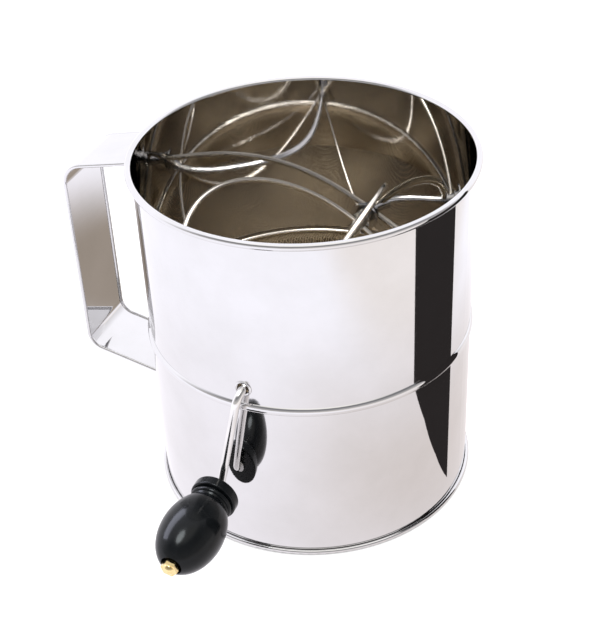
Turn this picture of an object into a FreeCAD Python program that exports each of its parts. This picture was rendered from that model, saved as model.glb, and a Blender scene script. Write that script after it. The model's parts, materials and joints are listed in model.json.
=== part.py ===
import FreeCAD, Part
import Sketcher
import math
import os

# A crank flour sifter in polished sheet steel. The can stands on its base hem,
# Z up, with the origin on the can's axis in the base plane. The crank leaves the
# can at -Y and the strap handle stands off it at -X. Lengths are millimetres.

V = FreeCAD.Vector
ALONG_X = V(1, 0, 0)
ALONG_Y = V(0, 1, 0)
ALONG_Z = V(0, 0, 1)

doc = FreeCAD.newDocument("flour_sifter")

DIMENSIONS = [
    ("canRadius", 82.5),            # outside of the wall
    ("canSheet", 0.5),
    ("rimRollRadius", 1.75),        # outside of the curled rim
    ("rimRollHeight", 183.0),       # centre of the curl
    ("baseRollRadius", 1.2),
    ("baseFlat", 0.9),              # width of the flat under the base hem
    ("beadHeight", 91.3),
    ("beadRise", 1.3),
    ("beadWidth", 4.8),
    ("axleHeight", 102.0),
    ("rodRadius", 2.1),
    ("eyeletBore", 3.0),
    ("eyeletWall", 0.5),
    ("eyeletLip", 4.3),
    ("eyeletLipDepth", 0.8),
    ("screenRadius", 75.7),         # inside of the mesh bowl
    ("screenThickness", 0.6),
    ("screenLipRadius", 81.7),
    ("screenRingRadius", 80.8),
    ("screenRingWire", 1.25),
    ("handleWidth", 38.0),
    ("handleSheet", 0.9),
    ("handleHem", 1.1),             # radius of the rolled edges
    ("handleSink", 0.3),            # the strap's face lies this far below the rolled edges
    ("handleReach", 126.5),         # can axis to the outside of the grip
    ("handleTopWall", 174.5),
    ("handleTopGrip", 165.0),
    ("handleLowGrip", 52.5),
    ("handleLowWall", 42.5),
    ("handleTopBend", 14.0),
    ("handleLowBend", 10.0),
    ("handleTab", 11.0),            # height of the tabs welded to the wall
    ("bearingFlange", 8.0),
    ("bearingFlangePlace", 80.9),
    ("bearingBarrel", 4.2),
    ("bearingStart", 76.8),
    ("bearingBoreDepth", 3.6),
    ("runningClearance", 0.08),
    ("axleEnd", 79.9),
    ("hubRadius", 3.6),
    ("hubLength", 9.5),
    ("hubPlace", 70.8),             # can axis to the middle of each hub
    ("outerArcRadius", 73.6),       # the pair of wires that sweep the mesh
    ("outerWireAngle", -53.0),
    ("innerArcRadius", 68.0),       # the pair that crosses inside them
    ("innerWireAngle", 30.0),
    ("wireRadius", 1.5),
    ("wireEndAngle", 2.4),          # a wire's end stops this short of the axle
    ("washerRadius", 5.5),
    ("washerThickness", 0.8),
    ("stopRadius", 3.7),            # the washer behind the knob
    ("armPlace", 89.5),             # can axis to the crank arm
    ("crankThrow", 62.0),
    ("crankBend", 6.5),             # where the axle turns into the arm
    ("pinBend", 3.0),               # where the arm turns into the pin
    ("crankSwing", 12.5),           # the arm hangs this far towards the handle
    ("pinDroop", 3.0),
    ("pinLength", 53.5),
    ("knobStart", 4.0),             # crank arm to the back of the knob
    ("knobFlange", 11.8),
    ("knobFlangeLength", 5.2),
    ("knobNeck", 9.4),
    ("knobBead", 10.9),
    ("eggRadius", 15.5),
    ("eggHalfLength", 23.1),
    ("eggCentre", 31.5),
    ("sleeveRadius", 3.0),
    ("recessRadius", 5.3),
    ("recessDepth", 4.0),
    ("nutFlats", 7.4),
    ("nutHexLength", 5.6),
    ("nutDome", 3.5),
    ("nutDomeSink", 1.7),
    ("nutGap", 0.3),
    ("nutWasherRadius", 4.6),
]

sheet = doc.addObject("Spreadsheet::Sheet", "Dims")
for row, (alias, value) in enumerate(DIMENSIONS, start=1):
    sheet.set("A%d" % row, alias)
    sheet.set("B%d" % row, str(value))
    sheet.setAlias("B%d" % row, alias)
doc.recompute()


def dim(alias):
    return float(sheet.get(alias))


# Sketch outlines. A line is ("line", start, end). An arc is ("arc", centre,
# radius, from, to) in degrees, and runs clockwise where "to" is the smaller.
def onCircle(centre, radius, degrees):
    turn = math.radians(degrees)
    return (centre[0] + radius * math.cos(turn), centre[1] + radius * math.sin(turn))


def roundedRun(points, radii):
    """Straight runs through the points, with a tangent arc at each inner one."""
    segments = []
    here = points[0]
    for index, radius in enumerate(radii, start=1):
        corner = V(*points[index], 0)
        back = (V(*points[index - 1], 0) - corner).normalize()
        ahead = (V(*points[index + 1], 0) - corner).normalize()
        half = back.getAngle(ahead) / 2
        reach = radius / math.tan(half)
        start = corner + back * reach
        centre = corner + (back + ahead).normalize() * (radius / math.sin(half))
        first = start - centre
        last = corner + ahead * reach - centre
        startAngle = math.degrees(math.atan2(first.y, first.x))
        sweep = math.degrees(first.getAngle(last))
        if first.cross(last).z < 0:
            sweep = -sweep
        segments.append(("line", here, (start.x, start.y)))
        segments.append(("arc", (centre.x, centre.y), radius, startAngle, startAngle + sweep))
        here = onCircle((centre.x, centre.y), radius, startAngle + sweep)
    segments.append(("line", here, points[-1]))
    return segments


def reversedRun(segments):
    turned = []
    for segment in reversed(segments):
        if segment[0] == "line":
            turned.append(("line", segment[2], segment[1]))
        else:
            turned.append(("arc", segment[1], segment[2], segment[4], segment[3]))
    return turned


def offsetRun(points, distance):
    """The same run of points, moved sideways to the right of its direction."""
    lines = []
    for start, end in zip(points[:-1], points[1:]):
        along = (V(*end, 0) - V(*start, 0)).normalize()
        side = V(along.y, -along.x, 0) * distance
        lines.append((V(*start, 0) + side, V(*end, 0) + side, along))
    moved = [lines[0][0]]
    for before, after in zip(lines[:-1], lines[1:]):
        gap = after[0] - before[1]
        step = gap.cross(after[2]).z / before[2].cross(after[2]).z
        moved.append(before[1] + before[2] * step)
    moved.append(lines[-1][1])
    return [(point.x, point.y) for point in moved]


def drawOutline(sketch, segments, closed=True):
    """Adds the segments and joins their ends. Returns each one's end handles."""
    handles = []
    for segment in segments:
        if segment[0] == "line":
            shape = Part.LineSegment(V(*segment[1], 0), V(*segment[2], 0))
            handles.append((sketch.addGeometry(shape, False), 1, 2))
            continue
        kind, centre, radius, start, end = segment
        circle = Part.Circle(V(*centre, 0), ALONG_Z, radius)
        low = math.radians(min(start, end))
        high = math.radians(max(start, end))
        number = sketch.addGeometry(Part.ArcOfCircle(circle, low, high), False)
        handles.append((number, 1, 2) if end > start else (number, 2, 1))
    following = handles[1:] + handles[:1] if closed else handles[1:]
    for before, after in zip(handles, following):
        sketch.addConstraint(
            Sketcher.Constraint("Coincident", before[0], before[2], after[0], after[1]))
    return handles


def holdPoint(sketch, handle, axis, value, name, expression):
    """Ties a segment's start to the sheet, measured from the sketch's origin."""
    kind = "DistanceX" if axis == "x" else "DistanceY"
    number = sketch.addConstraint(
        Sketcher.Constraint(kind, -1, 1, handle[0], handle[1], value))
    sketch.renameConstraint(number, name)
    sketch.setExpression(".Constraints." + name, expression)


def newBody(label):
    body = doc.addObject("PartDesign::Body", label)
    body.Label = label
    return body


def originItem(body, role):
    for item in body.Origin.OriginFeatures:
        if item.Role == role:
            return item
    raise ValueError("no " + role)


def newSketch(body, name, plane, height=0.0):
    sketch = body.newObject("Sketcher::SketchObject", name)
    sketch.AttachmentSupport = [(originItem(body, plane), "")]
    sketch.MapMode = "FlatFace"
    sketch.AttachmentOffset = FreeCAD.Placement(V(0, 0, height), FreeCAD.Rotation())
    return sketch


def revolve(body, name, sketch, angle=360.0, midplane=False, axis="V_Axis"):
    turned = body.newObject("PartDesign::Revolution", name)
    turned.Profile = sketch
    turned.ReferenceAxis = (sketch, [axis])
    turned.Angle = angle
    turned.Midplane = midplane
    sketch.Visibility = False
    return turned


def circleSketch(body, name, plane, centre, alias, height=0.0, extra=""):
    sketch = newSketch(body, name, plane, height)
    sketch.addGeometry(Part.Circle(V(*centre, 0), ALONG_Z, dim(alias)), False)
    number = sketch.addConstraint(Sketcher.Constraint("Radius", 0, dim(alias)))
    sketch.renameConstraint(number, "size")
    sketch.setExpression(".Constraints.size", "Dims.%s%s" % (alias, extra))
    return sketch


def roundBar(label, radius, length, placement):
    """A cylinder whose radius and length are expressions on the sheet."""
    bar = doc.addObject("Part::Cylinder", label)
    bar.setExpression("Radius", radius)
    bar.setExpression("Height", length)
    bar.Placement = placement
    return bar


def ringPiece(label, radius, bore, length, placement):
    outer = roundBar(label + "_outer", radius, length, placement)
    hole = roundBar(label + "_bore", bore, length, placement)
    ring = doc.addObject("Part::Cut", label)
    ring.Base = outer
    ring.Tool = hole
    ring.Label = label
    return ring


alongPlusY = FreeCAD.Rotation(ALONG_X, -90)
axleCentre = V(0, 0, dim("axleHeight"))


def onAxle(place):
    """A frame on the axle, its Z along +Y, at this distance from the can's axis."""
    return FreeCAD.Placement(V(0, place, dim("axleHeight")), alongPlusY)


# The crank is drawn with its arm straight down and is then swung on the axle.
swing = FreeCAD.Placement(V(0, 0, 0), FreeCAD.Rotation(ALONG_Y, dim("crankSwing")), axleCentre)
droop = math.radians(dim("pinDroop"))
pinRoot = V(0, -dim("armPlace"), dim("axleHeight") - dim("crankThrow"))
pinAlong = V(0, -math.cos(droop), -math.sin(droop))


def onPin(distance):
    """A frame on the crank pin, its Z along the pin away from the can."""
    turn = FreeCAD.Rotation(ALONG_Z, pinAlong)
    return swing * FreeCAD.Placement(pinRoot + pinAlong * distance, turn)


# ------------------------------------------------------------------ can
def buildCan():
    body = newBody("can_body")
    outside = dim("canRadius")
    inside = outside - dim("canSheet")
    base = dim("baseRollRadius")
    flatHalf = dim("baseFlat") / 2
    baseCentre = (inside + base, math.sqrt(base ** 2 - flatHalf ** 2))
    flatTurn = math.degrees(math.asin(flatHalf / base))
    baseEnd = 470
    rim = dim("rimRollRadius")
    rimCentre = (inside + rim, dim("rimRollHeight"))
    rimEnd = -130
    bead = dim("beadHeight")
    halfBead = dim("beadWidth") / 2
    rise = dim("beadRise")
    beadRadius = (halfBead ** 2 + rise ** 2) / (2 * rise)
    beadCentre = (outside + rise - beadRadius, bead)
    beadTurn = math.degrees(math.asin(halfBead / beadRadius))
    innerBead = beadRadius - dim("canSheet")
    innerTurn = math.degrees(math.acos((inside - beadCentre[0]) / innerBead))
    innerHalf = innerBead * math.sin(math.radians(innerTurn))
    innerBase = base - dim("canSheet")
    innerRim = rim - dim("canSheet")
    flatLeft = (baseCentre[0] - flatHalf, 0)
    flatRight = (baseCentre[0] + flatHalf, 0)
    wall = [
        ("line", (outside, baseCentre[1]), (outside, bead - halfBead)),
        ("arc", beadCentre, beadRadius, -beadTurn, beadTurn),
        ("line", (outside, bead + halfBead), (outside, rimCentre[1])),
        ("arc", rimCentre, innerRim, 180, rimEnd),
        ("line", onCircle(rimCentre, innerRim, rimEnd), onCircle(rimCentre, rim, rimEnd)),
        ("arc", rimCentre, rim, rimEnd, 180),
        ("line", (inside, rimCentre[1]), (inside, bead + innerHalf)),
        ("arc", beadCentre, innerBead, innerTurn, -innerTurn),
        ("line", (inside, bead - innerHalf), (inside, baseCentre[1])),
        ("arc", baseCentre, base, 180, 270 - flatTurn),
        ("line", flatLeft, flatRight),
        ("arc", baseCentre, base, 270 + flatTurn, baseEnd),
        ("line", onCircle(baseCentre, base, baseEnd), onCircle(baseCentre, innerBase, baseEnd)),
        ("arc", baseCentre, innerBase, baseEnd, 180),
    ]
    sketch = newSketch(body, "can_section", "XZ_Plane")
    handles = drawOutline(sketch, wall)
    holdPoint(sketch, handles[0], "x", outside, "outside", "Dims.canRadius")
    holdPoint(sketch, handles[6], "x", inside, "inside", "Dims.canRadius - Dims.canSheet")
    holdPoint(sketch, handles[6], "y", rimCentre[1], "rim", "Dims.rimRollHeight")
    revolve(body, "can_wall", sketch)
    hole = circleSketch(body, "crank_hole", "XZ_Plane", (0, dim("axleHeight")), "eyeletBore",
                        extra=" + Dims.eyeletWall")
    cut = body.newObject("PartDesign::Pocket", "crank_hole_cut")
    cut.Profile = hole
    cut.Length = outside + 5
    cut.Reversed = True
    hole.Visibility = False
    return body


def buildScreen():
    body = newBody("screen_mesh")
    centre = (0, dim("axleHeight"))
    inner = dim("screenRadius")
    outer = inner + dim("screenThickness")
    lipTop = dim("beadHeight") - dim("screenRingWire")
    lipLow = lipTop - dim("screenThickness")
    topTurn = -math.degrees(math.asin((centre[1] - lipTop) / inner))
    lowTurn = -math.degrees(math.asin((centre[1] - lipLow) / outer))
    lip = dim("screenLipRadius")
    shell = [
        ("arc", centre, outer, -90, lowTurn),
        ("line", onCircle(centre, outer, lowTurn), (lip, lipLow)),
        ("line", (lip, lipLow), (lip, lipTop)),
        ("line", (lip, lipTop), onCircle(centre, inner, topTurn)),
        ("arc", centre, inner, topTurn, -90),
        ("line", onCircle(centre, inner, -90), onCircle(centre, outer, -90)),
    ]
    sketch = newSketch(body, "screen_section", "XZ_Plane")
    handles = drawOutline(sketch, shell)
    holdPoint(sketch, handles[2], "x", lip, "lip", "Dims.screenLipRadius")
    revolve(body, "screen_bowl", sketch)

    ring = doc.addObject("Part::Torus", "screen_ring")
    ring.setExpression("Radius1", "Dims.screenRingRadius")
    ring.setExpression("Radius2", "Dims.screenRingWire")
    ring.Placement.Base = V(0, 0, dim("beadHeight"))
    return [body, ring]


# ------------------------------------------------------------------ handle
def buildHandle():
    body = newBody("handle")
    width = dim("handleWidth")
    bite = 6.0                      # how far the strap runs in before the wall trims it
    slope = (dim("handleTopWall") - dim("handleTopGrip")) / (dim("handleReach") - dim("canRadius"))
    lowSlope = (dim("handleLowGrip") - dim("handleLowWall")) / (dim("handleReach") - dim("canRadius"))
    start = dim("canRadius") - bite
    outline = [
        (-start, dim("handleTopWall") + slope * bite),
        (-dim("handleReach"), dim("handleTopGrip")),
        (-dim("handleReach"), dim("handleLowGrip")),
        (-start, dim("handleLowWall") - lowSlope * bite),
    ]
    thickness = dim("handleSheet")
    bends = [dim("handleTopBend"), dim("handleLowBend")]
    sink = dim("handleSink")
    under = sink + thickness
    outer = roundedRun(offsetRun(outline, -sink), [bend - sink for bend in bends])
    inner = reversedRun(roundedRun(offsetRun(outline, -under), [bend - under for bend in bends]))
    band = outer + [("line", outer[-1][2], inner[0][1])] + inner
    band.append(("line", inner[-1][2], outer[0][1]))
    sketch = newSketch(body, "strap_section", "XZ_Plane")
    handles = drawOutline(sketch, band)
    holdPoint(sketch, handles[2], "x", sink - dim("handleReach"), "reach",
              "Dims.handleSink - Dims.handleReach")
    strap = body.newObject("PartDesign::Pad", "strap")
    strap.Profile = sketch
    strap.Midplane = True
    strap.setExpression("Length", "Dims.handleWidth - 2 * Dims.handleHem")
    sketch.Visibility = False

    hem = dim("handleHem")
    spine = roundedRun(offsetRun(outline, -hem), [bend - hem for bend in bends])
    for side, name in ((1, "near"), (-1, "far")):
        path = newSketch(body, name + "_hem_path", "XZ_Plane", side * (width / 2 - hem))
        drawOutline(path, spine, closed=False)
        first = V(*spine[0][1], 0)
        ring = newSketch(body, name + "_hem_circle", "YZ_Plane", first.x)
        ring.addGeometry(Part.Circle(V(-side * (width / 2 - hem), first.y, 0), ALONG_Z, hem), False)
        number = ring.addConstraint(Sketcher.Constraint("Radius", 0, hem))
        ring.renameConstraint(number, "size")
        ring.setExpression(".Constraints.size", "Dims.handleHem")
        doc.recompute()
        roll = body.newObject("PartDesign::AdditivePipe", name + "_hem")
        roll.Profile = ring
        roll.Spine = (path, ["Edge%d" % (count + 1) for count in range(len(spine))])
        roll.Mode = "Frenet"
        path.Visibility = False
        ring.Visibility = False
        doc.recompute()

    can = circleSketch(body, "can_outline", "XY_Plane", (0, 0), "canRadius")
    trim = body.newObject("PartDesign::Pocket", "wall_trim")
    trim.Profile = can
    trim.Length = dim("rimRollHeight") + 10
    trim.Reversed = True
    can.Visibility = False

    tab = dim("handleTab")
    wall = dim("canRadius")
    spread = 2 * math.degrees(math.asin((width / 2 - hem) / wall))
    for name, low in (("top_tab", dim("handleTopWall") - tab), ("low_tab", dim("handleLowWall"))):
        corners = [(-wall, low), (-wall - thickness, low), (-wall - thickness, low + tab), (-wall, low + tab)]
        edges = [("line", a, b) for a, b in zip(corners, corners[1:] + corners[:1])]
        section = newSketch(body, name + "_section", "XZ_Plane")
        marks = drawOutline(section, edges)
        holdPoint(section, marks[0], "x", -wall, "wall", "-Dims.canRadius")
        revolve(body, name, section, angle=spread, midplane=True)
    return body


# ------------------------------------------------------------------ bearings
def buildEyelet():
    body = newBody("crank_eyelet")
    bore = dim("eyeletBore")
    barrel = bore + dim("eyeletWall")
    lip = dim("eyeletLip")
    depth = dim("eyeletLipDepth")
    face = -dim("canRadius")
    back = face + dim("canSheet") + 0.15        # clears the curve of the wall
    middle = dim("axleHeight")
    inner = 0.5                                 # thickness of the lip inside the can
    corner = depth * 0.6
    outline = [
        ("line", (face, middle + barrel), (face, middle + lip)),
        ("arc", (face, middle + lip - corner), corner, 90, 180),
        ("line", (face - corner, middle + lip - corner), (face - depth, middle + bore + corner)),
        ("line", (face - depth, middle + bore + corner), (face - depth + corner, middle + bore)),
        ("line", (face - depth + corner, middle + bore), (back + inner, middle + bore)),
        ("line", (back + inner, middle + bore), (back + inner, middle + lip)),
        ("line", (back + inner, middle + lip), (back, middle + lip)),
        ("line", (back, middle + lip), (back, middle + barrel)),
        ("line", (back, middle + barrel), (face, middle + barrel)),
    ]
    sketch = newSketch(body, "eyelet_section", "YZ_Plane")
    handles = drawOutline(sketch, outline)
    holdPoint(sketch, handles[0], "x", face, "face", "-Dims.canRadius")
    axis = sketch.addGeometry(Part.LineSegment(V(face, middle, 0), V(0, middle, 0)), True)
    sketch.addConstraint(Sketcher.Constraint("Horizontal", axis))
    revolve(body, "eyelet_turned", sketch, axis="Axis0")
    return body


def buildBearing():
    flange = roundBar("bearing_flange", "Dims.bearingFlange", "Dims.canRadius - Dims.bearingFlangePlace",
                      onAxle(dim("bearingFlangePlace")))
    barrel = roundBar("bearing_barrel", "Dims.bearingBarrel", "Dims.bearingFlangePlace - Dims.bearingStart",
                      onAxle(dim("bearingStart")))
    bore = roundBar("bearing_bore", "Dims.rodRadius + Dims.runningClearance", "Dims.bearingBoreDepth",
                    onAxle(dim("bearingStart")))
    can = roundBar("bearing_wall", "Dims.canRadius - Dims.canSheet", "Dims.rimRollHeight",
                   FreeCAD.Placement())
    whole = doc.addObject("Part::Fuse", "bearing_whole")
    whole.Base = flange
    whole.Tool = barrel
    drilled = doc.addObject("Part::Cut", "bearing_drilled")
    drilled.Base = whole
    drilled.Tool = bore
    bearing = doc.addObject("Part::Common", "rear_bearing")
    bearing.Base = drilled
    bearing.Tool = can
    return bearing


# ------------------------------------------------------------------ crank
def buildRod():
    body = newBody("crank_rod")
    pinEnd = pinRoot + pinAlong * dim("pinLength")
    points = [
        (dim("axleEnd"), dim("axleHeight")),
        (-dim("armPlace"), dim("axleHeight")),
        (pinRoot.y, pinRoot.z),
        (pinEnd.y, pinEnd.z),
    ]
    route = roundedRun(points, [dim("crankBend"), dim("pinBend")])
    path = newSketch(body, "rod_path", "YZ_Plane")
    handles = drawOutline(path, route, closed=False)
    holdPoint(path, handles[0], "x", dim("axleEnd"), "end", "Dims.axleEnd")
    holdPoint(path, handles[2], "x", -dim("armPlace"), "arm", "-Dims.armPlace")
    ring = circleSketch(body, "rod_circle", "XZ_Plane", (0, dim("axleHeight")), "rodRadius",
                        height=-dim("axleEnd"))
    doc.recompute()
    rod = body.newObject("PartDesign::AdditivePipe", "rod")
    rod.Profile = ring
    rod.Spine = (path, ["Edge%d" % (count + 1) for count in range(len(route))])
    rod.Mode = "Frenet"
    path.Visibility = False
    ring.Visibility = False
    body.Placement = swing
    return body


def buildAgitator():
    pieces = []
    half = dim("hubLength") / 2
    for label, place in (("front_hub", -dim("hubPlace") - half), ("rear_hub", dim("hubPlace") - half)):
        pieces.append(ringPiece(label, "Dims.hubRadius", "Dims.rodRadius", "Dims.hubLength", onAxle(place)))
    outside = dim("hubPlace") + half + 0.2
    washers = (("front_washer", -outside - dim("washerThickness")), ("rear_washer", outside))
    for label, place in washers:
        pieces.append(ringPiece(label, "Dims.washerRadius", "Dims.rodRadius", "Dims.washerThickness",
                                onAxle(place)))
    stop = dim("wireEndAngle")
    for number in range(4):
        pair = "inner" if number % 2 else "outer"
        turn = math.radians(dim(pair + "WireAngle") + (180 if number > 1 else 0))
        outward = V(math.sin(turn), 0, math.cos(turn))
        wire = doc.addObject("Part::Torus", "agitator_wire_%d" % (number + 1))
        wire.setExpression("Radius1", "Dims.%sArcRadius" % pair)
        wire.setExpression("Radius2", "Dims.wireRadius")
        wire.setExpression("Angle3", "180 - 2 * Dims.wireEndAngle")
        plane = FreeCAD.Rotation(ALONG_Y, outward, ALONG_Y.cross(outward), "ZXY")
        wire.Placement = FreeCAD.Placement(axleCentre, plane * FreeCAD.Rotation(ALONG_Z, stop))
        pieces.append(wire)
    return pieces


# ------------------------------------------------------------------ knob
def buildKnob():
    body = newBody("knob")
    bore = dim("sleeveRadius")
    back = dim("knobStart")
    flange = dim("knobFlange")
    front = back + dim("knobFlangeLength")
    neck = dim("knobNeck")
    edge = 0.8                                  # rounding of the flange's rims
    grooveWidth = 0.5
    beadStart = front + grooveWidth
    beadHalf = 1.3
    beadRise = dim("knobBead") - neck
    beadRadius = (beadHalf ** 2 + beadRise ** 2) / (2 * beadRise)
    beadCentre = (dim("knobBead") - beadRadius, beadStart + beadHalf)
    beadTurn = math.degrees(math.asin(beadHalf / beadRadius))
    egg = dim("eggRadius")
    length = dim("eggHalfLength")
    middle = dim("eggCentre")
    eggStart = math.pi - math.asin(neck / egg)
    eggEnd = math.asin(dim("recessRadius") / egg)
    startPoint = (neck, middle + length * math.cos(eggStart))
    endPoint = (dim("recessRadius"), middle + length * math.cos(eggEnd))
    floor = endPoint[1] - dim("recessDepth")
    outline = [
        ("line", (bore, back), (flange - edge, back)),
        ("arc", (flange - edge, back + edge), edge, -90, 0),
        ("line", (flange, back + edge), (flange, front - edge)),
        ("arc", (flange - edge, front - edge), edge, 0, 90),
        ("line", (flange - edge, front), (neck, front)),
        ("line", (neck, front), (neck, beadStart)),
        ("arc", beadCentre, beadRadius, -beadTurn, beadTurn),
        ("line", (neck, beadStart + 2 * beadHalf), startPoint),
    ]
    sketch = newSketch(body, "knob_section", "XZ_Plane")
    handles = drawOutline(sketch, outline, closed=False)
    holdPoint(sketch, handles[0], "x", bore, "bore", "Dims.sleeveRadius")
    holdPoint(sketch, handles[2], "x", flange, "flange", "Dims.knobFlange")
    curve = Part.Ellipse(V(0, middle + length, 0), V(-egg, middle, 0), V(0, middle, 0))
    eggArc = sketch.addGeometry(Part.ArcOfEllipse(curve, -eggStart, -eggEnd), False)
    closing = [
        ("line", endPoint, (dim("recessRadius"), floor)),
        ("line", (dim("recessRadius"), floor), (bore, floor)),
        ("line", (bore, floor), (bore, back)),
    ]
    ends = drawOutline(sketch, closing, closed=False)
    joints = [
        (handles[-1][0], 2, eggArc, 1),
        (eggArc, 2, ends[0][0], 1),
        (ends[-1][0], 2, handles[0][0], 1),
    ]
    for joint in joints:
        sketch.addConstraint(Sketcher.Constraint("Coincident", *joint))
    revolve(body, "knob_turned", sketch)
    body.Placement = onPin(0)
    return body, floor


def buildKnobFittings(floor):
    back = dim("knobStart")
    sleeve = ringPiece("knob_sleeve", "Dims.sleeveRadius", "Dims.rodRadius + Dims.runningClearance",
                       "%.4f" % (floor - back), onPin(back))
    clear = dim("nutGap")
    stop = ringPiece("knob_stop_washer", "Dims.stopRadius", "Dims.rodRadius", "Dims.washerThickness",
                     onPin(back - clear - dim("washerThickness")))
    washer = ringPiece("nut_washer", "Dims.nutWasherRadius", "Dims.rodRadius", "Dims.washerThickness",
                       onPin(floor + clear))
    seat = floor + clear + dim("washerThickness")
    hexagon = doc.addObject("Part::Prism", "nut_hexagon")
    hexagon.Polygon = 6
    hexagon.setExpression("Circumradius", "Dims.nutFlats / sqrt(3)")
    hexagon.setExpression("Height", "Dims.nutHexLength")
    hexagon.Placement = onPin(seat)
    dome = doc.addObject("Part::Sphere", "nut_dome")
    dome.setExpression("Radius", "Dims.nutDome")
    dome.Placement = onPin(seat + dim("nutHexLength") - dim("nutDomeSink"))
    solid = doc.addObject("Part::Fuse", "nut_solid")
    solid.Base = hexagon
    solid.Tool = dome
    thread = roundBar("nut_thread", "Dims.rodRadius", "%.4f" % (dim("pinLength") - seat), onPin(seat))
    nut = doc.addObject("Part::Cut", "cap_nut")
    nut.Base = solid
    nut.Tool = thread
    return [sleeve, stop, washer, nut]


pieces = [buildCan()]
pieces += buildScreen()
pieces.append(buildHandle())
pieces.append(buildEyelet())
pieces.append(buildBearing())
pieces.append(buildRod())
pieces += buildAgitator()
knob, recessFloor = buildKnob()
pieces.append(knob)
pieces += buildKnobFittings(recessFloor)
doc.recompute()

faults = [item.Label for item in doc.Objects if {"Invalid", "Error"} & set(item.State)]
for piece in pieces:
    if piece.Shape.isNull() or not piece.Shape.isValid():
        faults.append(piece.Label)
if faults:
    raise SystemExit("failed: " + ", ".join(faults))

os.makedirs("parts", exist_ok=True)
for piece in pieces:
    piece.Shape.exportStep("parts/%s.step" % piece.Label)
    box = piece.Shape.BoundBox
    print("%-18s solids %d  volume %9.1f  x %7.1f %7.1f  y %7.1f %7.1f  z %7.1f %7.1f" % (
        piece.Label, len(piece.Shape.Solids), piece.Shape.Volume,
        box.XMin, box.XMax, box.YMin, box.YMax, box.ZMin, box.ZMax))
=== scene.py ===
import bpy
import bmesh
import json
import math
from mathutils import Matrix, Vector

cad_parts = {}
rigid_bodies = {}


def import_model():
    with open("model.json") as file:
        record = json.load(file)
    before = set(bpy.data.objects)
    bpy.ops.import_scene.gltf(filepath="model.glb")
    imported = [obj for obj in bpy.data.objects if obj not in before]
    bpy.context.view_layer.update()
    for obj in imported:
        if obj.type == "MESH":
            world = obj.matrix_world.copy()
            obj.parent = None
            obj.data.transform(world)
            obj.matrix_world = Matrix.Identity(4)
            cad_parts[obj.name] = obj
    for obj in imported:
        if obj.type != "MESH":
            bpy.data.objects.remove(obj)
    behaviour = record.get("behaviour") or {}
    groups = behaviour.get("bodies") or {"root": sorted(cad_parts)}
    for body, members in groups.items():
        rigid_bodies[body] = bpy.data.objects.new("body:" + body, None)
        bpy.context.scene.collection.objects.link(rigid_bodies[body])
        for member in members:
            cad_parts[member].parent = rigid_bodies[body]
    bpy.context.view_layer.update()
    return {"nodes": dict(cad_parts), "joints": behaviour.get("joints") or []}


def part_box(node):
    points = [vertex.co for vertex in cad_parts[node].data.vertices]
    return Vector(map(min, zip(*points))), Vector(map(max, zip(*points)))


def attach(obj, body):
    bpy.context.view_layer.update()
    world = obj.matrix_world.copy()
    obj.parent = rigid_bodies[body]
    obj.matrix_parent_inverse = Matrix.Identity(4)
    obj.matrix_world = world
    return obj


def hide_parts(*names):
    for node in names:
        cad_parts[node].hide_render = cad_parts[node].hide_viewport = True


for leftover in list(bpy.data.objects):
    bpy.data.objects.remove(leftover, do_unlink=True)

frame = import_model()
nodes = frame["nodes"]
print("frame loaded:", len(nodes), "nodes")

canHigh = Vector(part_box("can_body")[1])
meshHigh = Vector(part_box("screen_mesh")[1])
axleJoint = next(joint for joint in frame["joints"] if joint["name"] == "crank_turn")
axleCentre = Vector(axleJoint["pos_m"])


# Small helpers for node trees
def addNode(tree, kind, **settings):
    node = tree.nodes.new(kind)
    for name, value in settings.items():
        setattr(node, name, value)
    return node


def setInputs(node, **values):
    for name, value in values.items():
        node.inputs[name].default_value = value
    return node


def newMaterial(name):
    material = bpy.data.materials.new(name)
    material.use_nodes = True
    tree = material.node_tree
    return material, tree, tree.nodes["Principled BSDF"]


def remap(tree, source, low, high):
    step = addNode(tree, "ShaderNodeMapRange")
    step.inputs["To Min"].default_value = low
    step.inputs["To Max"].default_value = high
    tree.links.new(source, step.inputs["Value"])
    return step.outputs["Result"]


def socketIn(group, name, kind, value):
    socket = group.interface.new_socket(name, in_out="INPUT", socket_type=kind)
    socket.default_value = value
    return socket


def socketOut(group, name, kind):
    return group.interface.new_socket(name, in_out="OUTPUT", socket_type=kind)


# Marks that every rolled or drawn metal piece carries: long fine streaks,
# a slow unevenness of the sheet, and a few soft smudges
marksSizes = {
    "stretch": (0.06, 0.06, 1.0),   # long round the piece, short along its height
    "streaks": {"Detail": 3.0, "Roughness": 0.6},
    "waves": {"Detail": 1.0, "Roughness": 0.4},
    "smudges": {"Detail": 4.0, "Roughness": 0.55},
}


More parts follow.
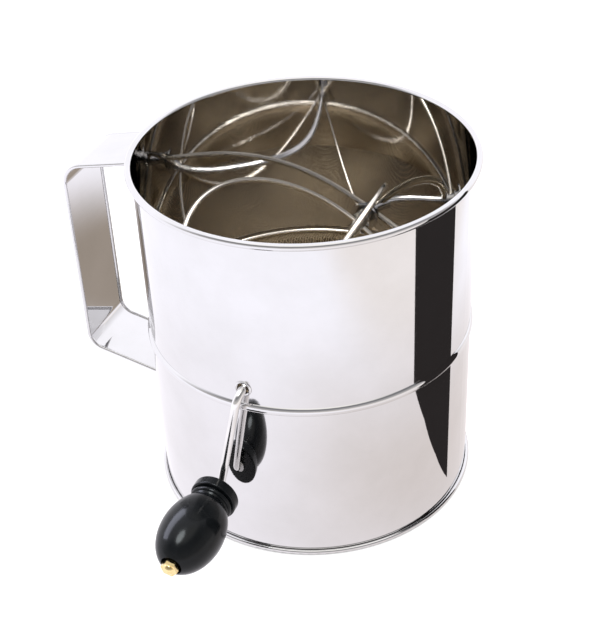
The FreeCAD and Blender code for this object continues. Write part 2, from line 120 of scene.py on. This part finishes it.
def makeMetalMarks(sizes):
    group = bpy.data.node_groups.new("metalMarks", "ShaderNodeTree")
    socketIn(group, "Streak Scale", "NodeSocketFloat", 900.0)
    socketIn(group, "Wave Scale", "NodeSocketFloat", 18.0)
    socketIn(group, "Smudge Scale", "NodeSocketFloat", 35.0)
    socketOut(group, "Streaks", "NodeSocketFloat")
    socketOut(group, "Waves", "NodeSocketFloat")
    socketOut(group, "Smudges", "NodeSocketFloat")
    start = addNode(group, "NodeGroupInput")
    end = addNode(group, "NodeGroupOutput")
    place = addNode(group, "ShaderNodeTexCoord")
    squeeze = addNode(group, "ShaderNodeMapping")
    squeeze.inputs["Scale"].default_value = sizes["stretch"]
    group.links.new(place.outputs["Object"], squeeze.inputs["Vector"])
    streaks = setInputs(addNode(group, "ShaderNodeTexNoise"), **sizes["streaks"])
    waves = setInputs(addNode(group, "ShaderNodeTexNoise"), **sizes["waves"])
    smudges = setInputs(addNode(group, "ShaderNodeTexNoise"), **sizes["smudges"])
    group.links.new(squeeze.outputs["Vector"], streaks.inputs["Vector"])
    group.links.new(squeeze.outputs["Vector"], waves.inputs["Vector"])
    group.links.new(place.outputs["Object"], smudges.inputs["Vector"])
    group.links.new(start.outputs["Streak Scale"], streaks.inputs["Scale"])
    group.links.new(start.outputs["Wave Scale"], waves.inputs["Scale"])
    group.links.new(start.outputs["Smudge Scale"], smudges.inputs["Scale"])
    group.links.new(streaks.outputs["Fac"], end.inputs["Streaks"])
    group.links.new(waves.outputs["Fac"], end.inputs["Waves"])
    group.links.new(smudges.outputs["Fac"], end.inputs["Smudges"])
    return group


metalMarks = makeMetalMarks(marksSizes)
dullSpread = (-0.6, 1.2)            # how far the dull colour shows where a smudge is thin or thick
wornSpread = (-0.3, 0.9)


# Bare metal: colour, how rough, and how strongly the marks show
def metal(name, look):
    material, tree, shader = newMaterial(name)
    marks = addNode(tree, "ShaderNodeGroup", node_tree=metalMarks)
    marks.inputs["Streak Scale"].default_value = look["streakScale"]
    marks.inputs["Wave Scale"].default_value = look["waveScale"]
    marks.inputs["Smudge Scale"].default_value = look["smudgeScale"]
    shader.inputs["Metallic"].default_value = 1.0
    tint = addNode(tree, "ShaderNodeMix", data_type="RGBA")
    tint.inputs["A"].default_value = (*look["colour"], 1)
    tint.inputs["B"].default_value = (*look["dullColour"], 1)
    tree.links.new(remap(tree, marks.outputs["Smudges"], *dullSpread), tint.inputs["Factor"])
    tree.links.new(tint.outputs["Result"], shader.inputs["Base Color"])
    mixed = addNode(tree, "ShaderNodeMath", operation="MULTIPLY")
    tree.links.new(marks.outputs["Streaks"], mixed.inputs[0])
    tree.links.new(marks.outputs["Smudges"], mixed.inputs[1])
    rough = remap(tree, mixed.outputs["Value"], *look["roughness"])
    tree.links.new(rough, shader.inputs["Roughness"])
    height = addNode(tree, "ShaderNodeMath", operation="MULTIPLY_ADD")
    height.inputs[1].default_value = look["waveShare"]
    tree.links.new(marks.outputs["Waves"], height.inputs[0])
    tree.links.new(remap(tree, marks.outputs["Streaks"], 0.0, 1.0), height.inputs[2])
    bump = addNode(tree, "ShaderNodeBump")
    bump.inputs["Strength"].default_value = look["bump"]
    bump.inputs["Distance"].default_value = look["bumpDepth"]
    tree.links.new(height.outputs["Value"], bump.inputs["Height"])
    tree.links.new(bump.outputs["Normal"], shader.inputs["Normal"])
    return material


sheetLook = {
    "colour": (0.73, 0.725, 0.73),
    "dullColour": (0.66, 0.655, 0.65),
    "roughness": (0.02, 0.09),
    "streakScale": 900.0,
    "waveScale": 40.0,
    "smudgeScale": 35.0,
    "waveShare": 3.0,
    "bump": 0.15,
    "bumpDepth": 0.00003,
}
rodLook = {
    "colour": (0.83, 0.82, 0.81),
    "dullColour": (0.72, 0.71, 0.69),
    "roughness": (0.10, 0.22),
    "streakScale": 1500.0,
    "waveScale": 60.0,
    "smudgeScale": 120.0,
    "waveShare": 2.0,
    "bump": 0.04,
    "bumpDepth": 0.00001,
}
# The warm tint of the wire colour is painted reflection: it stands in for the brown screen and
# warm walls that the wires reflect
wireLook = {
    "colour": (0.84, 0.79, 0.70),
    "dullColour": (0.74, 0.68, 0.58),
    "roughness": (0.12, 0.26),
    "streakScale": 1500.0,
    "waveScale": 60.0,
    "smudgeScale": 120.0,
    "waveShare": 2.0,
    "bump": 0.06,
    "bumpDepth": 0.00001,
}
# The brown colour of the screen is painted reflection of the warm, dark inside of the can that its
# wires see; the smudges on it are marks
meshLook = {
    "colour": (0.66, 0.53, 0.35),
    "dullColour": (0.52, 0.41, 0.26),
    "roughness": (0.30, 0.42),
    "streakScale": 600.0,
    "waveScale": 20.0,
    "smudgeScale": 25.0,
    "waveShare": 1.0,
    "bump": 0.03,
    "bumpDepth": 0.00001,
}
washerLook = {
    "colour": (0.62, 0.61, 0.60),
    "dullColour": (0.45, 0.44, 0.42),
    "roughness": (0.15, 0.4),
    "streakScale": 1800.0,
    "waveScale": 90.0,
    "smudgeScale": 150.0,
    "waveShare": 1.0,
    "bump": 0.3,
    "bumpDepth": 0.00002,
}
brassLook = {
    "colour": (0.93, 0.75, 0.40),
    "dullColour": (0.72, 0.54, 0.24),
    "roughness": (0.12, 0.35),
    "streakScale": 1400.0,
    "waveScale": 150.0,
    "smudgeScale": 400.0,
    "waveShare": 2.0,
    "bump": 0.4,
    "bumpDepth": 0.00003,
}
knobLook = {
    "colour": (0.003, 0.0035, 0.004),
    "wornColour": (0.006, 0.007, 0.008),
    "roughness": (0.12, 0.24),
    "shine": 0.16,
    "coat": 0.06,
    "coatRoughness": 0.1,
    "grainScale": 300.0,
    "grainDetail": 4.0,
    "bump": 0.2,
    "bumpDepth": 0.00008,
}


# Black lacquer over turned wood, with a thin clear coat
def lacquer(name, look):
    material, tree, shader = newMaterial(name)
    place = addNode(tree, "ShaderNodeTexCoord")
    clouds = setInputs(addNode(tree, "ShaderNodeTexNoise"),
                       Scale=look["grainScale"], Detail=look["grainDetail"])
    tree.links.new(place.outputs["Object"], clouds.inputs["Vector"])
    tint = addNode(tree, "ShaderNodeMix", data_type="RGBA")
    tint.inputs["A"].default_value = (*look["colour"], 1)
    tint.inputs["B"].default_value = (*look["wornColour"], 1)
    tree.links.new(remap(tree, clouds.outputs["Fac"], *wornSpread), tint.inputs["Factor"])
    tree.links.new(tint.outputs["Result"], shader.inputs["Base Color"])
    rough = remap(tree, clouds.outputs["Fac"], *look["roughness"])
    tree.links.new(rough, shader.inputs["Roughness"])
    bump = addNode(tree, "ShaderNodeBump")
    bump.inputs["Strength"].default_value = look["bump"]
    bump.inputs["Distance"].default_value = look["bumpDepth"]
    tree.links.new(clouds.outputs["Fac"], bump.inputs["Height"])
    tree.links.new(bump.outputs["Normal"], shader.inputs["Normal"])
    shader.inputs["Specular IOR Level"].default_value = look["shine"]
    shader.inputs["Coat Weight"].default_value = look["coat"]
    shader.inputs["Coat Roughness"].default_value = look["coatRoughness"]
    return material


sheetSteel = metal("sheetSteel", sheetLook)
rodSteel = metal("rodSteel", rodLook)
wireSteel = metal("wireSteel", wireLook)
meshSteel = metal("meshSteel", meshLook)
washerSteel = metal("washerSteel", washerLook)
nutBrass = metal("nutBrass", brassLook)
knobBlack = lacquer("knobBlack", knobLook)
print("materials made")

finishes = {
    "can_body": sheetSteel,
    "screen_ring": wireSteel,
    "handle": sheetSteel,
    "crank_eyelet": sheetSteel,
    "rear_bearing": washerSteel,
    "crank_rod": rodSteel,
    "front_hub": washerSteel,
    "rear_hub": washerSteel,
    "front_washer": washerSteel,
    "rear_washer": washerSteel,
    "knob_stop_washer": washerSteel,
    "knob_sleeve": washerSteel,
    "nut_washer": washerSteel,
    "knob": knobBlack,
    "cap_nut": nutBrass,
    "screen_mesh": meshSteel,
}
for number in range(1, 5):
    finishes["agitator_wire_%d" % number] = wireSteel
for nodeName, finish in finishes.items():
    data = nodes[nodeName].data
    data.materials.clear()
    data.materials.append(finish)

# Woven screen: straight wires laid side by side, bent to the bowl and its flat
# lip, each one passing over and under the wires that cross it
screenSizes = {
    "pitch": 0.00138,
    "wireRadius": 0.00019,
    "sides": 4,
    "bowlRadius": 0.076,
    "margin": 0.0006,
}


def mathNode(tree, operation, first, second=None, third=None):
    node = addNode(tree, "ShaderNodeMath", operation=operation)
    for index, value in enumerate((first, second, third)):
        if value is None:
            continue
        if isinstance(value, (int, float)):
            node.inputs[index].default_value = value
        else:
            tree.links.new(value, node.inputs[index])
    return node.outputs[0]


def makeWeaveTree():
    tree = bpy.data.node_groups.new("wovenBowl", "GeometryNodeTree")
    socketIn(tree, "Pitch", "NodeSocketFloat", 0.001)
    socketIn(tree, "Wire Radius", "NodeSocketFloat", 0.0002)
    socketIn(tree, "Sides", "NodeSocketInt", 4)
    socketIn(tree, "Outer Radius", "NodeSocketFloat", 0.08)
    socketIn(tree, "Bowl Radius", "NodeSocketFloat", 0.076)
    socketIn(tree, "Centre Height", "NodeSocketFloat", 0.1)
    socketIn(tree, "Lip Height", "NodeSocketFloat", 0.09)
    socketIn(tree, "Across", "NodeSocketFloat", 0.0)
    tree.interface.new_socket("Finish", in_out="INPUT", socket_type="NodeSocketMaterial")
    socketOut(tree, "Geometry", "NodeSocketGeometry")
    start = addNode(tree, "NodeGroupInput")
    get = start.outputs
    end = addNode(tree, "NodeGroupOutput")
    # one point for each wire, spread across the lip
    span = mathNode(tree, "MULTIPLY", get["Outer Radius"], 2.0)
    count = mathNode(tree, "FLOOR", mathNode(tree, "DIVIDE", span, get["Pitch"]))
    row = addNode(tree, "GeometryNodeMeshLine")
    tree.links.new(count, row.inputs["Count"])
    half = mathNode(tree, "MULTIPLY", mathNode(tree, "SUBTRACT", count, 1.0), 0.5)
    firstX = mathNode(tree, "MULTIPLY", mathNode(tree, "MULTIPLY", half, get["Pitch"]), -1.0)
    rowStart = addNode(tree, "ShaderNodeCombineXYZ")
    rowStep = addNode(tree, "ShaderNodeCombineXYZ")
    tree.links.new(firstX, rowStart.inputs["X"])
    tree.links.new(get["Pitch"], rowStep.inputs["X"])
    tree.links.new(rowStart.outputs[0], row.inputs["Start Location"])
    tree.links.new(rowStep.outputs[0], row.inputs["Offset"])
    # the wire itself: one point at each crossing
    wire = addNode(tree, "GeometryNodeMeshLine")
    tree.links.new(count, wire.inputs["Count"])
    wireStart = addNode(tree, "ShaderNodeCombineXYZ")
    wireStep = addNode(tree, "ShaderNodeCombineXYZ")
    tree.links.new(firstX, wireStart.inputs["Y"])
    tree.links.new(get["Pitch"], wireStep.inputs["Y"])
    tree.links.new(wireStart.outputs[0], wire.inputs["Start Location"])
    tree.links.new(wireStep.outputs[0], wire.inputs["Offset"])
    spread = addNode(tree, "GeometryNodeInstanceOnPoints")
    tree.links.new(row.outputs["Mesh"], spread.inputs["Points"])
    tree.links.new(wire.outputs["Mesh"], spread.inputs["Instance"])
    laid = addNode(tree, "GeometryNodeRealizeInstances")
    tree.links.new(spread.outputs["Instances"], laid.inputs["Geometry"])
    # keep what lies inside the lip
    position = addNode(tree, "GeometryNodeInputPosition")
    split = addNode(tree, "ShaderNodeSeparateXYZ")
    tree.links.new(position.outputs[0], split.inputs[0])
    squareX = mathNode(tree, "MULTIPLY", split.outputs["X"], split.outputs["X"])
    squareY = mathNode(tree, "MULTIPLY", split.outputs["Y"], split.outputs["Y"])
    squares = mathNode(tree, "ADD", squareX, squareY)
    radius = mathNode(tree, "SQRT", squares)
    outside = addNode(tree, "FunctionNodeCompare", data_type="FLOAT", operation="GREATER_THAN")
    tree.links.new(radius, outside.inputs["A"])
    tree.links.new(get["Outer Radius"], outside.inputs["B"])
    trim = addNode(tree, "GeometryNodeDeleteGeometry", domain="POINT")
    tree.links.new(laid.outputs[0], trim.inputs["Geometry"])
    tree.links.new(outside.outputs["Result"], trim.inputs["Selection"])
    # height of the bowl, or of the lip outside it
    bowlSquare = mathNode(tree, "MULTIPLY", get["Bowl Radius"], get["Bowl Radius"])
    depth = mathNode(tree, "SQRT", mathNode(
        tree, "MAXIMUM", mathNode(tree, "SUBTRACT", bowlSquare, squares), 0.0))
    bowl = mathNode(tree, "SUBTRACT", get["Centre Height"], depth)
    height = mathNode(tree, "MINIMUM", bowl, get["Lip Height"])
    # over and under: the sign changes at every crossing and from wire to wire
    column = mathNode(tree, "ROUND", mathNode(tree, "DIVIDE", mathNode(
        tree, "SUBTRACT", split.outputs["X"], firstX), get["Pitch"]))
    crossing = mathNode(tree, "ROUND", mathNode(tree, "DIVIDE", mathNode(
        tree, "SUBTRACT", split.outputs["Y"], firstX), get["Pitch"]))
    parity = mathNode(tree, "MODULO", mathNode(
        tree, "ADD", mathNode(tree, "ADD", column, crossing), get["Across"]), 2.0)
    sway = mathNode(tree, "MULTIPLY", mathNode(tree, "SUBTRACT", mathNode(
        tree, "MULTIPLY", parity, 2.0), 1.0), get["Wire Radius"])
    # push along the bowl's own slope, straight up on the lip
    towards = addNode(tree, "ShaderNodeCombineXYZ")
    tree.links.new(split.outputs["X"], towards.inputs["X"])
    tree.links.new(split.outputs["Y"], towards.inputs["Y"])
    tree.links.new(mathNode(tree, "MULTIPLY", depth, -1.0), towards.inputs["Z"])
    normal = addNode(tree, "ShaderNodeVectorMath", operation="NORMALIZE")
    tree.links.new(towards.outputs[0], normal.inputs[0])
    push = addNode(tree, "ShaderNodeVectorMath", operation="SCALE")
    tree.links.new(normal.outputs[0], push.inputs[0])
    tree.links.new(sway, push.inputs["Scale"])
    surface = addNode(tree, "ShaderNodeCombineXYZ")
    tree.links.new(split.outputs["X"], surface.inputs["X"])
    tree.links.new(split.outputs["Y"], surface.inputs["Y"])
    tree.links.new(height, surface.inputs["Z"])
    woven = addNode(tree, "ShaderNodeVectorMath", operation="ADD")
    tree.links.new(surface.outputs[0], woven.inputs[0])
    tree.links.new(push.outputs[0], woven.inputs[1])
    bend = addNode(tree, "GeometryNodeSetPosition")
    tree.links.new(trim.outputs[0], bend.inputs["Geometry"])
    tree.links.new(woven.outputs[0], bend.inputs["Position"])
    # a quarter turn for the wires that run the other way
    turn = addNode(tree, "GeometryNodeTransform")
    spin = addNode(tree, "ShaderNodeCombineXYZ")
    tree.links.new(mathNode(tree, "MULTIPLY", get["Across"], math.pi / 2), spin.inputs["Z"])
    tree.links.new(bend.outputs[0], turn.inputs["Geometry"])
    tree.links.new(spin.outputs[0], turn.inputs["Rotation"])
    path = addNode(tree, "GeometryNodeMeshToCurve")
    tree.links.new(turn.outputs[0], path.inputs["Mesh"])
    ring = addNode(tree, "GeometryNodeCurvePrimitiveCircle")
    tree.links.new(get["Sides"], ring.inputs["Resolution"])
    tree.links.new(get["Wire Radius"], ring.inputs["Radius"])
    tube = addNode(tree, "GeometryNodeCurveToMesh")
    tube.inputs["Fill Caps"].default_value = True
    tree.links.new(path.outputs[0], tube.inputs["Curve"])
    tree.links.new(ring.outputs["Curve"], tube.inputs["Profile Curve"])
    whole = addNode(tree, "GeometryNodeRealizeInstances")
    paint = addNode(tree, "GeometryNodeSetMaterial")
    tree.links.new(tube.outputs[0], whole.inputs[0])
    tree.links.new(whole.outputs[0], paint.inputs["Geometry"])
    tree.links.new(get["Finish"], paint.inputs["Material"])
    tree.links.new(paint.outputs[0], end.inputs["Geometry"])
    return tree


# Runs a geometry tree on an empty mesh and keeps its result as a plain mesh
def runTree(name, tree, values):
    holder = bpy.data.objects.new(name, bpy.data.meshes.new(name))
    bpy.context.scene.collection.objects.link(holder)
    modifier = holder.modifiers.new("grow", "NODES")
    modifier.node_group = tree
    for item in tree.interface.items_tree:
        if item.item_type == "SOCKET" and item.in_out == "INPUT" and item.name in values:
            modifier[item.identifier] = values[item.name]
    graph = bpy.context.evaluated_depsgraph_get()
    plain = bpy.data.meshes.new_from_object(holder.evaluated_get(graph))
    holder.modifiers.remove(modifier)
    holder.data = plain
    for face in plain.polygons:
        face.use_smooth = True
    return holder


weaveTree = makeWeaveTree()
screenWires = []
for name, across in (("screen_warp", 0.0), ("screen_weft", 1.0)):
    wires = runTree(name, weaveTree, {
        "Pitch": screenSizes["pitch"],
        "Wire Radius": screenSizes["wireRadius"],
        "Sides": screenSizes["sides"],
        "Outer Radius": meshHigh.x - screenSizes["margin"],
        "Bowl Radius": screenSizes["bowlRadius"],
        "Centre Height": axleCentre.z,
        "Lip Height": meshHigh.z - 2 * screenSizes["wireRadius"],
        "Across": across,
        "Finish": meshSteel,
    })
    print(name, len(wires.data.polygons), "faces")
    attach(wires, "can")
    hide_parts("screen_mesh")
    screenWires.append(wires)

# Stage: a white floor, soft lamps, and cards that only the polished metal sees
stageSizes = {
    "floorHalf": 20.0,
    "floorRoughness": 0.95,
    "floorGlow": 0.55,
    "cardLift": 0.0002,             # the glow lies this far above the floor
    "footInset": 0.003,             # the shade under the can starts this far inside its wall
    "footSoft": 0.003,
    "roomLight": 1.0,
}
underCan = canHigh.x - stageSizes["footInset"]


def addPanel(name, corners):
    mesh = bpy.data.meshes.new(name)
    mesh.from_pydata([tuple(corner) for corner in corners], [], [tuple(range(len(corners)))])
    panel = bpy.data.objects.new(name, mesh)
    bpy.context.scene.collection.objects.link(panel)
    return panel


def onlyReflected(panel):
    panel.visible_camera = False
    panel.visible_diffuse = False
    panel.visible_transmission = False
    panel.visible_volume_scatter = False
    panel.visible_shadow = False


def glowing(name, colour, strength):
    material = bpy.data.materials.new(name)
    material.use_nodes = True
    tree = material.node_tree
    tree.nodes.clear()
    light = addNode(tree, "ShaderNodeEmission")
    light.inputs["Color"].default_value = (*colour, 1)
    light.inputs["Strength"].default_value = strength
    out = addNode(tree, "ShaderNodeOutputMaterial")
    tree.links.new(light.outputs[0], out.inputs["Surface"])
    return material, tree, light


def levelSquare(half, height):
    return [(-half, -half, height), (half, -half, height),
            (half, half, height), (-half, half, height)]


floor = addPanel("floor", levelSquare(stageSizes["floorHalf"], 0))
paper, paperTree, paperShader = newMaterial("paper")
paperShader.inputs["Roughness"].default_value = stageSizes["floorRoughness"]
paperShader.inputs["Specular IOR Level"].default_value = 0.0
paperShader.inputs["Emission Color"].default_value = (1, 1, 1, 1)
floor.data.materials.append(paper)
floor.visible_glossy = False


# 0 within a circle on the table and 1 outside it
def beyond(tree, edge, soft, centre=(0, 0, 0)):
    place = addNode(tree, "ShaderNodeTexCoord")
    length = addNode(tree, "ShaderNodeVectorMath", operation="DISTANCE")
    length.inputs[1].default_value = centre
    step = addNode(tree, "ShaderNodeMapRange", interpolation_type="SMOOTHSTEP")
    step.inputs["From Min"].default_value = edge
    step.inputs["From Max"].default_value = edge + soft
    tree.links.new(place.outputs["Object"], length.inputs[0])
    tree.links.new(length.outputs["Value"], step.inputs["Value"])
    return step.outputs["Result"]


# Inside the can's footprint the floor is painted black and gets no glow: painted shade under the
# can
openFloor = beyond(paperTree, underCan, stageSizes["footSoft"])
paperTree.links.new(openFloor, paperShader.inputs["Base Color"])
paperTree.links.new(remap(paperTree, openFloor, 0.0, stageSizes["floorGlow"]),
                    paperShader.inputs["Emission Strength"])

# What the polished wall sees of the table: bright to the left and in front, warmer
# and a little darker close to the base and to the right, dark under the can
glowSizes = {
    "farLeft": (0.93, 0.92, 0.985),
    "farRight": (0.82, 0.775, 0.765),
    "nearLeft": (0.83, 0.805, 0.85),
    "nearRight": (0.62, 0.565, 0.545),
    "strength": 1.39,
    "nearRadius": 0.09,
    "farRadius": 0.32,
    "shade": (0.31, 0.265, 0.225),  # the can's own shade behind it
    "shadeCentre": (-0.065, 0.14, 0),
    "shadeReach": (0.045, 0.10),
    "under": (0.05, 0.04, 0.03),
    "underSoft": 0.002,
    "farEdges": (0.155, 0.28),
    "nearEdges": (-0.03, 0.135),
}


def mixColours(tree, factor, first, second):
    mix = addNode(tree, "ShaderNodeMix", data_type="RGBA")
    tree.links.new(factor, mix.inputs["Factor"])
    for name, value in (("A", first), ("B", second)):
        if isinstance(value, tuple):
            mix.inputs[name].default_value = (*value, 1)
        else:
            tree.links.new(value, mix.inputs[name])
    return mix.outputs["Result"]


def addTableGlow(sizes):
    panel = addPanel("tableGlow", levelSquare(stageSizes["floorHalf"], stageSizes["cardLift"]))
    material, tree, light = glowing("tableGlow", (1, 1, 1), sizes["strength"])
    place = addNode(tree, "ShaderNodeTexCoord")
    split = addNode(tree, "ShaderNodeSeparateXYZ")
    tree.links.new(place.outputs["Object"], split.inputs[0])
    shades = []
    for reach in ("far", "near"):
        side = addNode(tree, "ShaderNodeMapRange", interpolation_type="SMOOTHSTEP")
        side.inputs["From Min"].default_value = sizes[reach + "Edges"][0]
        side.inputs["From Max"].default_value = sizes[reach + "Edges"][1]
        tree.links.new(split.outputs["X"], side.inputs["Value"])
        shades.append(mixColours(tree, side.outputs["Result"],
                                 sizes[reach + "Left"], sizes[reach + "Right"]))
    far, near = shades
    spread = beyond(tree, sizes["nearRadius"], sizes["farRadius"] - sizes["nearRadius"])
    table = mixColours(tree, spread, near, far)
    outOfShade = beyond(tree, *sizes["shadeReach"], sizes["shadeCentre"])
    shaded = mixColours(tree, outOfShade, sizes["shade"], table)
    outsideCan = beyond(tree, underCan, sizes["underSoft"])
    whole = mixColours(tree, outsideCan, sizes["under"], shaded)
    tree.links.new(whole, light.inputs["Color"])
    panel.data.materials.append(material)
    onlyReflected(panel)


addTableGlow(glowSizes)

# A dark card standing close on the right
cardSizes = {
    "foot": ((0.187, -0.023), (0.150, -0.008), (0.114, -0.003), (0.091, -0.004)),
    "low": 0.0004,
    "high": 0.19,
    "colour": (0.030, 0.026, 0.026),
}


def addDarkCard(sizes):
    foot = sizes["foot"]
    mesh = bpy.data.meshes.new("darkCard")
    points = [(x, y, level) for x, y in foot for level in (sizes["low"], sizes["high"])]
    faces = [(2 * i, 2 * i + 2, 2 * i + 3, 2 * i + 1) for i in range(len(foot) - 1)]
    mesh.from_pydata(points, [], faces)
    card = bpy.data.objects.new("darkCard", mesh)
    bpy.context.scene.collection.objects.link(card)
    mesh.materials.append(glowing("darkCard", sizes["colour"], 1.0)[0])
    onlyReflected(card)


addDarkCard(cardSizes)

# The room that the metal sees: light behind and to the left, dark in front
roomSizes = {
    "radius": 30.0,
    "segments": 48,
    "rings": 24,
    "towards": (-0.55, 0.80, 0.25),
    "dark": (0.24, 0.24, 0.255),
    "low": (0.62, 0.60, 0.60),
    "lowFrom": 0.70,                # sine of the height where the low light ends
    "lowTo": 0.10,
    "roof": (1.30, 1.27, 1.22),
    "roofFrom": 0.72,
    "roofTo": 0.90,
    "light": (1.32, 1.31, 1.38),
    "from": -0.10,
    "to": 0.45,
}


def addRoom(sizes):
    mesh = bpy.data.meshes.new("room")
    shape = bmesh.new()
    bmesh.ops.create_uvsphere(shape, u_segments=sizes["segments"], v_segments=sizes["rings"],
                              radius=sizes["radius"])
    shape.to_mesh(mesh)
    shape.free()
    room = bpy.data.objects.new("room", mesh)
    bpy.context.scene.collection.objects.link(room)
    material, tree, light = glowing("room", (1, 1, 1), 1.0)
    place = addNode(tree, "ShaderNodeTexCoord")
    straight = addNode(tree, "ShaderNodeVectorMath", operation="NORMALIZE")
    tree.links.new(place.outputs["Object"], straight.inputs[0])
    facing = addNode(tree, "ShaderNodeVectorMath", operation="DOT_PRODUCT")
    facing.inputs[1].default_value = sizes["towards"]
    tree.links.new(straight.outputs[0], facing.inputs[0])
    step = addNode(tree, "ShaderNodeMapRange", interpolation_type="SMOOTHSTEP")
    step.inputs["From Min"].default_value = sizes["from"]
    step.inputs["From Max"].default_value = sizes["to"]
    tree.links.new(facing.outputs["Value"], step.inputs["Value"])
    split = addNode(tree, "ShaderNodeSeparateXYZ")
    tree.links.new(straight.outputs[0], split.inputs[0])
    low = addNode(tree, "ShaderNodeMapRange", interpolation_type="SMOOTHSTEP")
    low.inputs["From Min"].default_value = sizes["lowFrom"]
    low.inputs["From Max"].default_value = sizes["lowTo"]
    tree.links.new(split.outputs["Z"], low.inputs["Value"])
    roof = addNode(tree, "ShaderNodeMapRange", interpolation_type="SMOOTHSTEP")
    roof.inputs["From Min"].default_value = sizes["roofFrom"]
    roof.inputs["From Max"].default_value = sizes["roofTo"]
    tree.links.new(split.outputs["Z"], roof.inputs["Value"])
    upper = mixColours(tree, roof.outputs["Result"], sizes["dark"], sizes["roof"])
    front = mixColours(tree, low.outputs["Result"], upper, sizes["low"])
    tree.links.new(mixColours(tree, step.outputs["Result"], front, sizes["light"]),
                   light.inputs["Color"])
    mesh.materials.append(material)
    onlyReflected(room)


addRoom(roomSizes)

world = bpy.data.worlds.new("room")
world.use_nodes = True
world.node_tree.nodes["Background"].inputs["Color"].default_value = (1, 1, 1, 1)
world.node_tree.nodes["Background"].inputs["Strength"].default_value = stageSizes["roomLight"]
world.cycles_visibility.glossy = False
bpy.context.scene.world = world
bpy.context.scene.view_settings.view_transform = "Standard"

# Soft lamps: where they stand, what they aim at, which way their long side runs
rodNodes = ["screen_ring", "crank_rod"] + ["agitator_wire_%d" % number for number in range(1, 5)]
insideNodes = [wires.name for wires in screenWires] + rodNodes
lampList = {
    "topLamp": {
        "place": (-0.10, -0.62, 1.40), "aim": (-0.01, -0.12, 0.05), "along": (0.3, 1, 0),
        "size": (0.55, 0.80), "shape": "ELLIPSE", "colour": (0.90, 0.97, 1.0), "power": 13.0,
        "lights": ("knob", "cap_nut")},
    "leftLamp": {
        "place": (-0.95, 0.10, 0.76), "aim": (-0.01, -0.12, 0.05),
        "along": (0.57, 1.02, 0.44), "size": (0.50, 1.25), "shape": "RECTANGLE",
        "colour": (0.80, 0.83, 1.0), "power": 15.0,
        "lights": ("knob", "cap_nut")},
    "meshLamp": {
        "place": (0.25, 0.75, 1.5), "aim": (0, 0, 0.1), "along": (1, 0, 0),
        "size": (1.2, 1.2), "shape": "RECTANGLE", "colour": (1.0, 0.96, 0.90), "power": 18.0,
        "lights": insideNodes},
    "wireLamp": {
        "place": (-0.35, -0.25, 1.3), "aim": (0, 0, 0.1), "along": (1, 0, 0),
        "size": (0.9, 0.9), "shape": "RECTANGLE", "colour": (1.0, 0.98, 0.94), "power": 16.0,
        "lights": rodNodes},
}
for name, lamp in lampList.items():
    lampData = bpy.data.lights.new(name, "AREA")
    lampData.shape = lamp["shape"]
    lampData.size, lampData.size_y = lamp["size"]
    lampData.color = lamp["colour"]
    lampData.energy = lamp["power"]
    lampObject = bpy.data.objects.new(name, lampData)
    bpy.context.scene.collection.objects.link(lampObject)
    backward = (Vector(lamp["place"]) - Vector(lamp["aim"])).normalized()
    across = Vector(lamp["along"]).cross(backward).normalized()
    turn = Matrix((across, backward.cross(across), backward)).transposed().to_4x4()
    lampObject.matrix_world = Matrix.Translation(lamp["place"]) @ turn
    lit = bpy.data.collections.new(name + "Lights")
    for pieceName in lamp["lights"]:
        lit.objects.link(bpy.data.objects[pieceName])
    lampObject.light_linking.receiver_collection = lit

# Camera
cameraPlace = {
    "distance": 0.55459,            # from the can's axis
    "height": 0.47817,
    "aroundFromCrank": 23.32,
    "turnLeft": 0.54,
    "lookDown": 35.08,
    "roll": -2.82,
    "lens": 74.37,
    "sensor": 36.0,
    "nearest": 0.01,
    "farthest": 50.0,
}


def addCamera(place):
    around = math.radians(place["aroundFromCrank"])
    heading = around + math.radians(place["turnLeft"])
    down = math.radians(place["lookDown"])
    roll = math.radians(place["roll"])
    forward = Vector((-math.sin(heading) * math.cos(down),
                      math.cos(heading) * math.cos(down),
                      -math.sin(down)))
    right = forward.cross(Vector((0, 0, 1))).normalized()
    up = right.cross(forward)
    rolledRight = right * math.cos(roll) + up * math.sin(roll)
    rolledUp = up * math.cos(roll) - right * math.sin(roll)
    data = bpy.data.cameras.new("camera")
    data.lens = place["lens"]
    data.sensor_width = place["sensor"]
    data.clip_start = place["nearest"]
    data.clip_end = place["farthest"]
    camera = bpy.data.objects.new("camera", data)
    bpy.context.scene.collection.objects.link(camera)
    spot = Vector((math.sin(around), -math.cos(around), 0)) * place["distance"]
    spot.z = place["height"]
    turn = Matrix((rolledRight, rolledUp, -forward)).transposed().to_4x4()
    camera.matrix_world = Matrix.Translation(spot) @ turn
    bpy.context.scene.camera = camera


addCamera(cameraPlace)
print("stage and camera placed")
